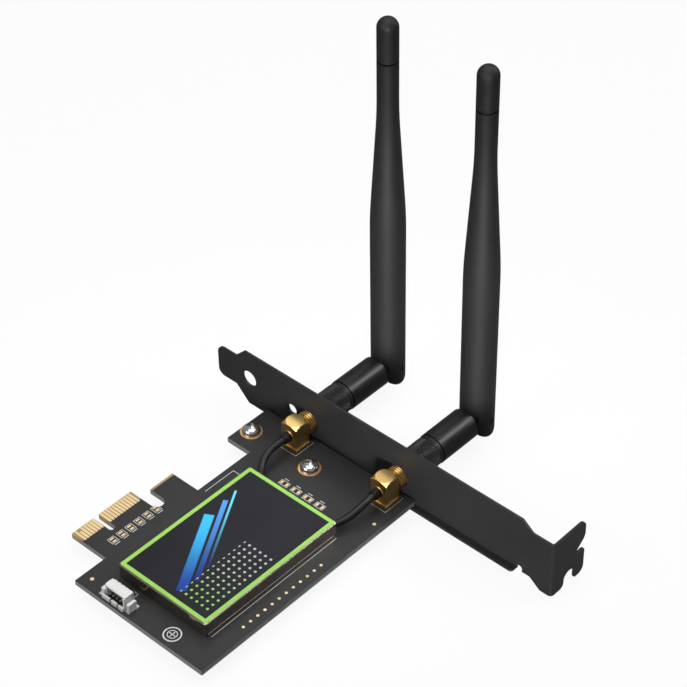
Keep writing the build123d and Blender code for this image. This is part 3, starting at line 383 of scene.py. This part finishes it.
sleeve_jacket = moulded_black("cable sleeve", (0.007, 0.007, 0.007), (0.013, 0.013, 0.013), 0.46, 0.30, 0.10)
socket_plastic = moulded_black("socket plastic", (0.014, 0.014, 0.014), (0.022, 0.022, 0.022), 0.5, 0.4)
module_mask = moulded_black("module mask", (0.006, 0.030, 0.012), (0.010, 0.046, 0.020), 0.4, 0.4)
header_plastic = moulded_white()
white_core = moulded_white()
label_print = printed_label()

FINISH_OF_SLOT = {
    "board_black": mask,
    "contact_gold": contact_gold,
    "bracket_black": bracket_coat,
    "screw_chrome": screw_chrome,
    "pad_copper": pad_copper,
    "can_bright": can_bright,
    "label_print": label_print,
    "module_green": module_mask,
    "socket_black": socket_plastic,
    "module_steel": tin,
    "header_white": header_plastic,
    "header_tin": tin,
    "cable_black": cable_jacket,
    "sleeve_black": sleeve_jacket,
    "socket_gold": socket_gold,
    "dielectric_white": white_core,
    "nut_black": nut_coat,
    "antenna_black": antenna_plastic,
    "pin_black": pin_plastic,
    "radiator_brass": contact_gold,
}
SLOT_OF_NODE = {s["node"]: s["material_slot"] for s in frame["record"]["subparts"]}
for node_name, node in nodes.items():
    node.data.materials.clear()
    glossier = node_name.startswith("swivel_barrel")
    node.data.materials.append(barrel_plastic if glossier else FINISH_OF_SLOT[SLOT_OF_NODE[node_name]])


# Making pieces
def make(name, bm, body, slot, stands_for=(), sharp=35.0, flat_sided=False):
    """A piece from a bmesh in millimetres, smooth except at its sharp edges, riding on its body."""
    bmesh.ops.remove_doubles(bm, verts=bm.verts, dist=0.0005)
    bmesh.ops.recalc_face_normals(bm, faces=bm.faces)
    bmesh.ops.scale(bm, vec=(MM, MM, MM), verts=bm.verts)
    mesh = bpy.data.meshes.new(name)
    bm.to_mesh(mesh)
    bm.free()
    mesh.shade_smooth()
    mesh.set_sharp_from_angle(angle=math.radians(sharp))
    mesh.materials.append(FINISH_OF_SLOT[slot])
    piece = bpy.data.objects.new(name, mesh)
    bpy.context.scene.collection.objects.link(piece)
    if flat_sided:
        level = piece.modifiers.new("flats", "WEIGHTED_NORMAL")
        level.mode = "FACE_AREA"
        level.weight = 50
        level.keep_sharp = True
    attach(piece, body)
    if stands_for:
        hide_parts(*stands_for)
    return piece


def cad_copy(node_name):
    """A merged copy of a CAD node in millimetres, with flat faces made whole."""
    bm = bmesh.new()
    bm.from_mesh(nodes[node_name].data)
    bmesh.ops.scale(bm, vec=(1 / MM, 1 / MM, 1 / MM), verts=bm.verts)
    bmesh.ops.remove_doubles(bm, verts=bm.verts, dist=0.0005)
    bmesh.ops.dissolve_limit(bm, angle_limit=math.radians(0.6), verts=bm.verts, edges=bm.edges)
    return bm


def soften(bm, width, angle=32.0, segments=2, shortest=0.0):
    """Rounds the edges that are sharper than the angle and longer than the shortest."""
    sharp = [e for e in bm.edges if e.is_manifold and e.calc_face_angle() > math.radians(angle)]
    sharp = [e for e in sharp if e.calc_length() > shortest]
    bmesh.ops.bevel(bm, geom=sharp, offset=width, offset_type="OFFSET", segments=segments, profile=0.5,
                    affect="EDGES", clamp_overlap=True, material=-1)


def block(bm, low, high, edge=0.08):
    """A box between two corners with its edges broken."""
    before = set(bm.verts)
    bmesh.ops.create_cube(bm, size=1.0)
    fresh = [v for v in bm.verts if v not in before]
    low, high = Vector(low), Vector(high)
    bmesh.ops.scale(bm, vec=high - low, verts=fresh)
    bmesh.ops.translate(bm, vec=(low + high) / 2, verts=fresh)
    edges = list({e for v in fresh for e in v.link_edges})
    bmesh.ops.bevel(bm, geom=edges, offset=edge, segments=2, profile=0.5, affect="EDGES", material=-1)


def turned(bm, profile, place, along="Y", steps=48, closed=False):
    """Spins (radius, distance) points round an axis through a place."""
    before = set(bm.verts)
    verts = [bm.verts.new((radius, 0, distance)) for radius, distance in profile]
    edges = [bm.edges.new(pair) for pair in zip(verts, verts[1:])]
    if closed:
        edges.append(bm.edges.new((verts[-1], verts[0])))
    bmesh.ops.spin(bm, geom=verts + edges, cent=(0, 0, 0), axis=(0, 0, 1), angle=math.tau, steps=steps,
                   use_merge=True)
    fresh = [v for v in bm.verts if v not in before]
    turn = Matrix.Rotation(math.radians(-90), 4, "X") if along == "Y" else Matrix.Identity(4)
    bmesh.ops.transform(bm, matrix=Matrix.Translation(Vector(place)) @ turn, verts=fresh)


def carved(bm, cutter):
    """The first solid less the second."""
    holders = []
    for solid in (bm, cutter):
        mesh = bpy.data.meshes.new("work")
        solid.to_mesh(mesh)
        solid.free()
        holder = bpy.data.objects.new("work", mesh)
        bpy.context.scene.collection.objects.link(holder)
        holders.append(holder)
    cut = holders[0].modifiers.new("cut", "BOOLEAN")
    cut.operation = "DIFFERENCE"
    cut.solver = "EXACT"
    cut.object = holders[1]
    result = bmesh.new()
    result.from_object(holders[0], bpy.context.evaluated_depsgraph_get())
    for holder in holders:
        bpy.data.meshes.remove(holder.data)
    return result


# Bracket and panel nuts with broken edges
def folded_bracket():
    bm = cad_copy("bracket")
    soften(bm, 0.14)
    make("folded_bracket", bm, "card", "bracket_black", ["bracket"], 30.0, True)


def panel_nut(side):
    bm = cad_copy(f"outer_nut_{side}")
    soften(bm, 0.16, 40.0, 2)
    make(f"panel_nut_{side}", bm, "card", "socket_gold", [f"outer_nut_{side}"], 35.0, True)


# Pan head screws with a tapered cross recess
def pan_screws():
    bm = bmesh.new()
    for x, y in SCREWS:
        dome = bmesh.new()
        profile = [
            (0.0, 1.96), (0.7, 1.93), (1.4, 1.80), (1.95, 1.55), (2.32, 1.20), (2.52, 0.80), (2.60, 0.40),
            (2.60, 0.14), (2.52, 0.06), (1.45, 0.06), (1.45, -3.45), (1.20, -3.60), (0.0, -3.60),
        ]
        turned(dome, profile, (0, 0, 0), "Z", 48)
        bmesh.ops.remove_doubles(dome, verts=dome.verts, dist=0.0005)
        bmesh.ops.recalc_face_normals(dome, faces=dome.faces)
        for angle in (0, 90):
            cutter = bmesh.new()
            bmesh.ops.create_cube(cutter, size=1.0)
            bmesh.ops.scale(cutter, vec=(3.0, 0.78, 1.5), verts=cutter.verts)
            floor = [v for v in cutter.verts if v.co.z < 0]
            bmesh.ops.scale(cutter, vec=(0.45, 0.6, 1), verts=floor)
            bmesh.ops.translate(cutter, vec=(0, 0, 1.60), verts=cutter.verts)
            bmesh.ops.rotate(cutter, cent=(0, 0, 0), matrix=Matrix.Rotation(math.radians(angle + 24), 3, "Z"),
                             verts=cutter.verts)
            dome = carved(dome, cutter)
        bmesh.ops.translate(dome, vec=(x, y, 0), verts=dome.verts)
        spare = bpy.data.meshes.new("work")
        dome.to_mesh(spare)
        dome.free()
        bm.from_mesh(spare)
        bpy.data.meshes.remove(spare)
    make("pan_screws", bm, "card", "screw_chrome", ["bracket_screws"])


# Antenna socket: post with a turned top, cable collar and threaded barrel
def antenna_socket(side):
    x = SOCKETS[side]
    bm = cad_copy(f"socket_body_{side}")
    cut = bmesh.ops.bisect_plane(bm, geom=bm.verts[:] + bm.edges[:] + bm.faces[:], plane_co=(0, POST_BACK_Y, 0),
                                 plane_no=(0, 1, 0), clear_outer=True)
    rim = [e for e in cut["geom_cut"] if isinstance(e, bmesh.types.BMEdge)]
    bmesh.ops.bridge_loops(bm, edges=rim)
    soften(bm, 0.10, 40.0, 2, 2.0)
    collar = [(1.0, -7.6), (1.0, -7.86), (1.56, -7.86), (1.64, -7.80), (1.64, -7.6)]
    turned(bm, collar, (x, PANEL_Y, CABLE_Z), "Y", 36)
    make(f"antenna_socket_{side}", bm, "card", "socket_gold", [f"socket_body_{side}"], 20.0, True)

    bm = bmesh.new()
    start = POST_BACK_Y - PANEL_Y - 0.02
    profile = [(2.00, start)]
    for step in range(15 * 8 + 1):
        profile.append((2.97 + 0.18 * math.cos(math.tau * step / 8), start + step * THREAD_PITCH / 8))
    profile += [(3.15, 8.55), (2.9, 9.0), (2.32, 9.0), (2.32, 6.5), (2.0, 6.5)]
    turned(bm, profile, (x, PANEL_Y, AXIS_Z), "Y", 64, True)
    thread = make(f"socket_thread_{side}", bm, "card", "socket_gold", sharp=60.0)
    thread.data.materials.clear()
    thread.data.materials.append(thread_gold)


# Pigtail: a smooth held cable with a ribbed sleeve at the post
ROUTES = {
    "left": (
        (20.4, 54.15, CABLE_Z), (20.4, 49.75, CABLE_Z), (20.05, 46.47, 4.10), (20.5, 43.12, 3.10),
        (22.0, 40.48, 2.20), (24.5, 38.05, 1.75), (27.2, 35.19, 1.70), (29.0, 31.63, 2.30),
        (29.3, 27.75, 3.25), (29.3, 25.35, 3.25),
    ),
    "right": (
        (52.95, 54.15, CABLE_Z), (52.95, 49.75, CABLE_Z), (53.05, 45.89, 3.90), (52.4, 41.60, 2.60),
        (50.4, 37.5, 1.75), (48.15, 33.81, 1.75), (45.05, 30.68, 2.70), (44.3, 27.75, 3.25),
        (44.3, 25.35, 3.25),
    ),
}


def pigtail(side):
    curve = bpy.data.curves.new(f"pigtail_{side}_line", "CURVE")
    curve.dimensions = "3D"
    curve.resolution_u = 10
    spline = curve.splines.new("NURBS")
    spline.points.add(len(ROUTES[side]) - 1)
    for point, place in zip(spline.points, ROUTES[side]):
        point.co = (*place, 1)
    spline.order_u = 3
    spline.use_endpoint_u = True
    curve.bevel_depth = CABLE_R
    curve.bevel_resolution = 6
    curve.use_fill_caps = True
    holder = bpy.data.objects.new("work", curve)
    bpy.context.scene.collection.objects.link(holder)
    mesh = bpy.data.meshes.new_from_object(holder.evaluated_get(bpy.context.evaluated_depsgraph_get()))
    bm = bmesh.new()
    bm.from_mesh(mesh)
    bpy.data.meshes.remove(mesh)
    bpy.data.curves.remove(curve)
    make(f"cable_{side}", bm, "card", "cable_black", [f"pigtail_{side}"], 60.0)

    bm = bmesh.new()
    profile = [(0.9, 0.0), (1.50, 0.0)]
    for rib in range(4):
        at = 0.12 + rib * 0.52
        profile += [(1.50, at), (1.50, at + 0.26), (1.33, at + 0.34), (1.33, at + 0.44)]
    profile += [(1.40, 2.24), (1.28, 2.40), (0.9, 2.40)]
    turned(bm, [(r, -d) for r, d in profile], (SOCKETS[side], 53.15, CABLE_Z), "Y", 36)
    make(f"cable_sleeve_{side}", bm, "card", "sleeve_black", [f"pigtail_sleeve_{side}"], 40.0)


# Coupling nut with fine straight knurling
def coupling_nut(side):
    bm = bmesh.new()
    teeth = 60
    ridge = 0.13
    # Distance from the panel, radius, and height of the ridges there
    stations = [
        (3.5, 4.02, 0.0), (3.60, 4.22, 0.0), (3.85, 4.38, 0.0), (4.30, 4.40, 0.0), (4.40, 4.32, 0.0),
        (4.60, 4.32, 0.0), (4.80, 4.36, ridge), (12.30, 4.36, ridge), (12.50, 4.32, 0.0),
        (12.70, 4.32, 0.0), (12.80, 4.42, 0.0),
        (13.72, 4.42, 0.0), (13.80, 4.37, 0.0), (13.83, 4.28, 0.0), (13.83, 2.45, 0.0), (11.2, 2.45, 0.0),
        (11.2, 3.21, 0.0), (3.5, 3.21, 0.0),
    ]
    rings = []
    for at, radius, tooth in stations:
        ring = bmesh.ops.create_circle(bm, segments=4 * teeth, radius=radius)["verts"]
        bmesh.ops.translate(bm, vec=(0, 0, at), verts=ring)
        if tooth:
            crests = [v for index, v in enumerate(ring) if index % 4 < 2]
            grow = (radius + tooth) / radius
            bmesh.ops.scale(bm, vec=(grow, grow, 1), verts=crests)
        rings.append(list({e for v in ring for e in v.link_edges}))
    for one, other in zip(rings, rings[1:] + rings[:1]):
        bmesh.ops.bridge_loops(bm, edges=one + other)
    turn = Matrix.Rotation(math.radians(-90), 4, "X")
    bmesh.ops.transform(bm, matrix=Matrix.Translation((SOCKETS[side], PANEL_Y, AXIS_Z)) @ turn, verts=bm.verts)
    make(f"knurled_nut_{side}", bm, f"coupling_{side}", "nut_black", [f"coupling_nut_{side}"], 28.0)


# Cap on the whip: a dome over a dark groove
def whip_cap(side):
    bm = bmesh.new()
    radius, foot, tip = TIP_R, CAP_FOOT_Z, CAP_TIP_Z
    bend = [math.radians(step * 7.5) for step in range(12, -1, -1)]
    profile = [(radius * math.cos(a), tip - radius + radius * math.sin(a)) for a in bend]
    profile += [(radius, foot + 0.72), (radius - 0.10, foot + 0.60), (radius - 0.52, foot + 0.52),
                (radius - 0.52, foot - 0.02), (0.0, foot - 0.02)]
    turned(bm, profile, (SOCKETS[side], HINGE_Y, 0), "Z", 64)
    make(f"whip_cap_{side}", bm, f"whip_{side}", "antenna_black", [f"tip_cap_{side}"])


# Header housing: roof with a toothed back edge, open front, split lip and side ears
def header():
    bm = bmesh.new()
    left, right, front, back, top = 23.2, 30.9, -18.4, -14.7, 4.3
    block(bm, (left, -15.35, 0.0), (right, back, 4.0))
    block(bm, (left + 0.75, front + 0.65, 3.66), (right, back - 0.35, top))
    block(bm, (left, front + 1.05, 3.45), (left + 0.9, back - 0.55, top - 0.16))
    teeth = 5
    pitch = (right - left - 0.75) / teeth
    for index in range(teeth):
        start = left + 0.75 + index * pitch
        block(bm, (start + 0.16, back - 0.45, 3.45), (start + pitch - 0.16, back, top - 0.02))
    block(bm, (left, front + 0.95, 0.0), (left + 0.55, back - 0.2, 3.7))
    block(bm, (right - 0.62, front + 0.25, 0.0), (right, back - 0.2, 4.0))
    for low, high in ((left - 0.25, 25.9), (26.4, 28.5), (29.0, right - 0.1)):
        block(bm, (low, front - 0.42, 0.0), (high, front + 0.22, 1.25))
    block(bm, (22.1, -17.95, 0.3), (left + 0.15, -15.15, 2.4))
    block(bm, (right + 0.65, -18.05, 0.3), (32.4, -15.35, 2.75))
    block(bm, (right - 0.2, -15.8, 0.3), (right + 0.8, -15.4, 1.8))
    make("header_shroud", bm, "card", "header_white", ["header_housing"], 35.0, True)


# Printed lines and bare plated pads on the board
def strip(bm, start, end, width):
    """A thin raised line between two places on the board."""
    start, end = Vector((*start, 0)), Vector((*end, 0))
    run = end - start
    before = set(bm.verts)
    bmesh.ops.create_cube(bm, size=1.0)
    fresh = [v for v in bm.verts if v not in before]
    bmesh.ops.scale(bm, vec=(run.length + width, width, 0.024), verts=fresh)
    turn = Matrix.Rotation(math.atan2(run.y, run.x), 4, "Z")
    place = (start + end) / 2 + Vector((0, 0, 0.010))
    bmesh.ops.transform(bm, matrix=Matrix.Translation(place) @ turn, verts=fresh)


def outline(bm, low, high, width=0.16):
    corners = [(low[0], low[1]), (high[0], low[1]), (high[0], high[1]), (low[0], high[1])]
    for start, end in zip(corners, corners[1:] + corners[:1]):
        strip(bm, start, end, width)


def ring_print(bm, place, radius, width=0.16):
    inner, outer, height = radius - width / 2, radius + width / 2, 0.022
    profile = [(inner, 0.0), (inner, height), (outer, height), (outer, 0.0)]
    turned(bm, profile, (*place, 0), "Z", 40, True)


def board_print():
    bm = bmesh.new()
    for x in SOCKETS.values():
        outline(bm, (x - 3.55, 51.9), (x + 3.55, 59.0), 0.08)
    strip(bm, (29.2, -11.9), (27.9, -11.9), 0.11)
    strip(bm, (29.2, -11.9), (29.2, -13.2), 0.11)
    # Empty footprints in a row above the contacts and by the can
    for y in CONTACT_ROW:
        outline(bm, (9.1, y - 1.05), (11.3, y + 1.05), 0.14)
        strip(bm, (11.9, y - 0.8), (11.9, y + 0.8), 0.2)
    for x in CAN_ROW:
        outline(bm, (x - 1.5, 41.3), (x + 1.5, 43.0), 0.14)
        strip(bm, (x - 1.1, 43.7), (x + 0.2, 43.7), 0.2)
    ring_print(bm, MARK, 2.3, 0.34)
    ring_print(bm, MARK, 1.3, 0.2)
    strip(bm, (MARK[0] - 0.9, MARK[1]), (MARK[0] + 0.9, MARK[1]), 0.24)
    strip(bm, (MARK[0], MARK[1] - 0.9), (MARK[0], MARK[1] + 0.9), 0.24)
    strip(bm, (53.3, -9.6), (53.3, 36.2), 0.16)
    strip(bm, (15.3, 36.6), (15.3, 26.0), 0.16)
    strip(bm, (15.3, 36.6), (18.6, 36.6), 0.16)
    make("board_print", bm, "card", "header_white")


def pad_disc(bm, place, radius):
    profile = [(0.0, 0.03), (radius - 0.04, 0.03), (radius, 0.0)]
    turned(bm, profile, (*place, 0), "Z", 28)


def bare_pads():
    bm = bmesh.new()
    pad_disc(bm, (16.4, -16.05), 0.55)
    pad_disc(bm, (57.2, 46.75), 0.5)
    for index in range(12):
        pad_disc(bm, (56.9, -2.0 + index * 2.6), 0.42)
    for y in CONTACT_ROW:
        for x in (9.65, 10.75):
            strip(bm, (x, y - 0.35), (x, y + 0.35), 0.55)
    for middle in CAN_ROW:
        for x in (middle - 0.9, middle + 0.9):
            strip(bm, (x, 41.9), (x, 42.4), 0.7)
    make("bare_pads", bm, "card", "contact_gold")


folded_bracket()
pan_screws()
for side in SOCKETS:
    antenna_socket(side)
    panel_nut(side)
    pigtail(side)
    coupling_nut(side)
    whip_cap(side)
header()
board_print()
bare_pads()


# Studio
def area_light(name, place, aim, size, watts, spread=180.0):
    lamp = bpy.data.lights.new(name, "AREA")
    lamp.shape = "RECTANGLE"
    lamp.spread = math.radians(spread)
    lamp.size, lamp.size_y = (side * MM for side in size)
    lamp.energy = watts
    holder = bpy.data.objects.new(name, lamp)
    holder.location = Vector(place) * MM
    holder.rotation_mode = "QUATERNION"
    holder.rotation_quaternion = (Vector(aim) - Vector(place)).to_track_quat("-Z", "Y")
    bpy.context.scene.collection.objects.link(holder)
    return holder


def studio():
    """A pale floor, a white surround and soft lamps."""
    floor_z = cad_box[0].z - 0.2 * MM
    bm = bmesh.new()
    bmesh.ops.create_circle(bm, cap_ends=True, segments=64, radius=3.0)
    bmesh.ops.translate(bm, verts=bm.verts, vec=(0, 0, floor_z))
    mesh = bpy.data.meshes.new("floor")
    bm.to_mesh(mesh)
    bm.free()
    floor = bpy.data.objects.new("floor", mesh)
    bpy.context.scene.collection.objects.link(floor)
    paint = Finish("floor paint")
    seen = paint.wire.node("ShaderNodeLightPath")
    rays = seen.socket.node.outputs
    direct = Wire(paint.tree, rays["Is Camera Ray"]) + Wire(paint.tree, rays["Is Transmission Ray"])
    mirrored = Wire(paint.tree, rays["Is Glossy Ray"])
    tone = direct.clamp().colour((0.11, 0.11, 0.11), (0.86, 0.86, 0.86))
    paint.set(Base_Color=tone, Roughness=0.9, Specular_IOR_Level=0.0)
    white = paint.wire.node("ShaderNodeEmission", {"Color": (1, 1, 1, 1), "Strength": 1.0})
    lit = Wire(paint.tree, paint.shader.outputs[0])
    share = (direct * 0.90 + mirrored * 0.10).clamp()
    both = paint.wire.node("ShaderNodeMixShader", {0: share, 1: lit, 2: white})
    paint.tree.links.new(both.socket, paint.tree.nodes["Material Output"].inputs[0])
    floor.data.materials.append(paint.material)

    world = bpy.data.worlds.new("surround")
    world.use_nodes = True
    bpy.context.scene.world = world
    sky = Wire(world.node_tree)
    rays = sky.node("ShaderNodeLightPath").socket.node.outputs
    shown = Wire(world.node_tree, rays["Is Camera Ray"]) + Wire(world.node_tree, rays["Is Transmission Ray"])
    shown = (shown + Wire(world.node_tree, rays["Is Glossy Ray"]) * 0.14).clamp()
    background = world.node_tree.nodes["Background"]
    background.inputs["Color"].default_value = (1, 1, 1, 1)
    world.node_tree.links.new((0.16 + shown * 0.84).socket, background.inputs["Strength"])

    middle = (40, 55, 20)
    area_light("top", (20, 70, 620), (35, 40, 0), (460, 460), 2.3)
    area_light("front", (-60, -430, 330), middle, (320, 260), 1.2)
    strip_lamp = area_light("strip", (294, -250, 80), (36, 96, 22), (110, 130), 0.175, 24)
    area_light("side", (240, 337, 320), (36, 80, 5), (110, 110), 0.024, 20)
    area_light("glint", (-174, 290, 399), (36, 55, 9), (150, 120), 0.18)
    area_light("rim", (90, 480, 320), middle, (320, 130), 0.3)
    # The strip lights the whips and the bracket only, so that it leaves no glare on the board
    strip_lit = bpy.data.collections.new("strip lit")
    strip_lit.objects.link(bpy.data.objects["folded_bracket"])
    for side in SOCKETS:
        strip_lit.objects.link(nodes[f"whip_sheath_{side}"])
        strip_lit.objects.link(bpy.data.objects[f"whip_cap_{side}"])
    strip_lamp.light_linking.receiver_collection = strip_lit


studio()


# Camera
eye = Vector((335.0, -260.4, 415.76)) * MM
aim = Vector((17.88, 78.15, 20.0)) * MM
lens = bpy.data.cameras.new("camera")
lens.lens, lens.sensor_width = 116.8, 36.0
lens.clip_start, lens.clip_end = 0.01, 20.0
camera = bpy.data.objects.new("camera", lens)
camera.location = eye
camera.rotation_mode = "QUATERNION"
camera.rotation_quaternion = (aim - eye).to_track_quat("-Z", "Y") @ Quaternion((0, 0, 1), math.radians(-1.014))
bpy.context.scene.collection.objects.link(camera)
bpy.context.scene.camera = camera
bpy.context.scene.view_settings.view_transform = "Standard"
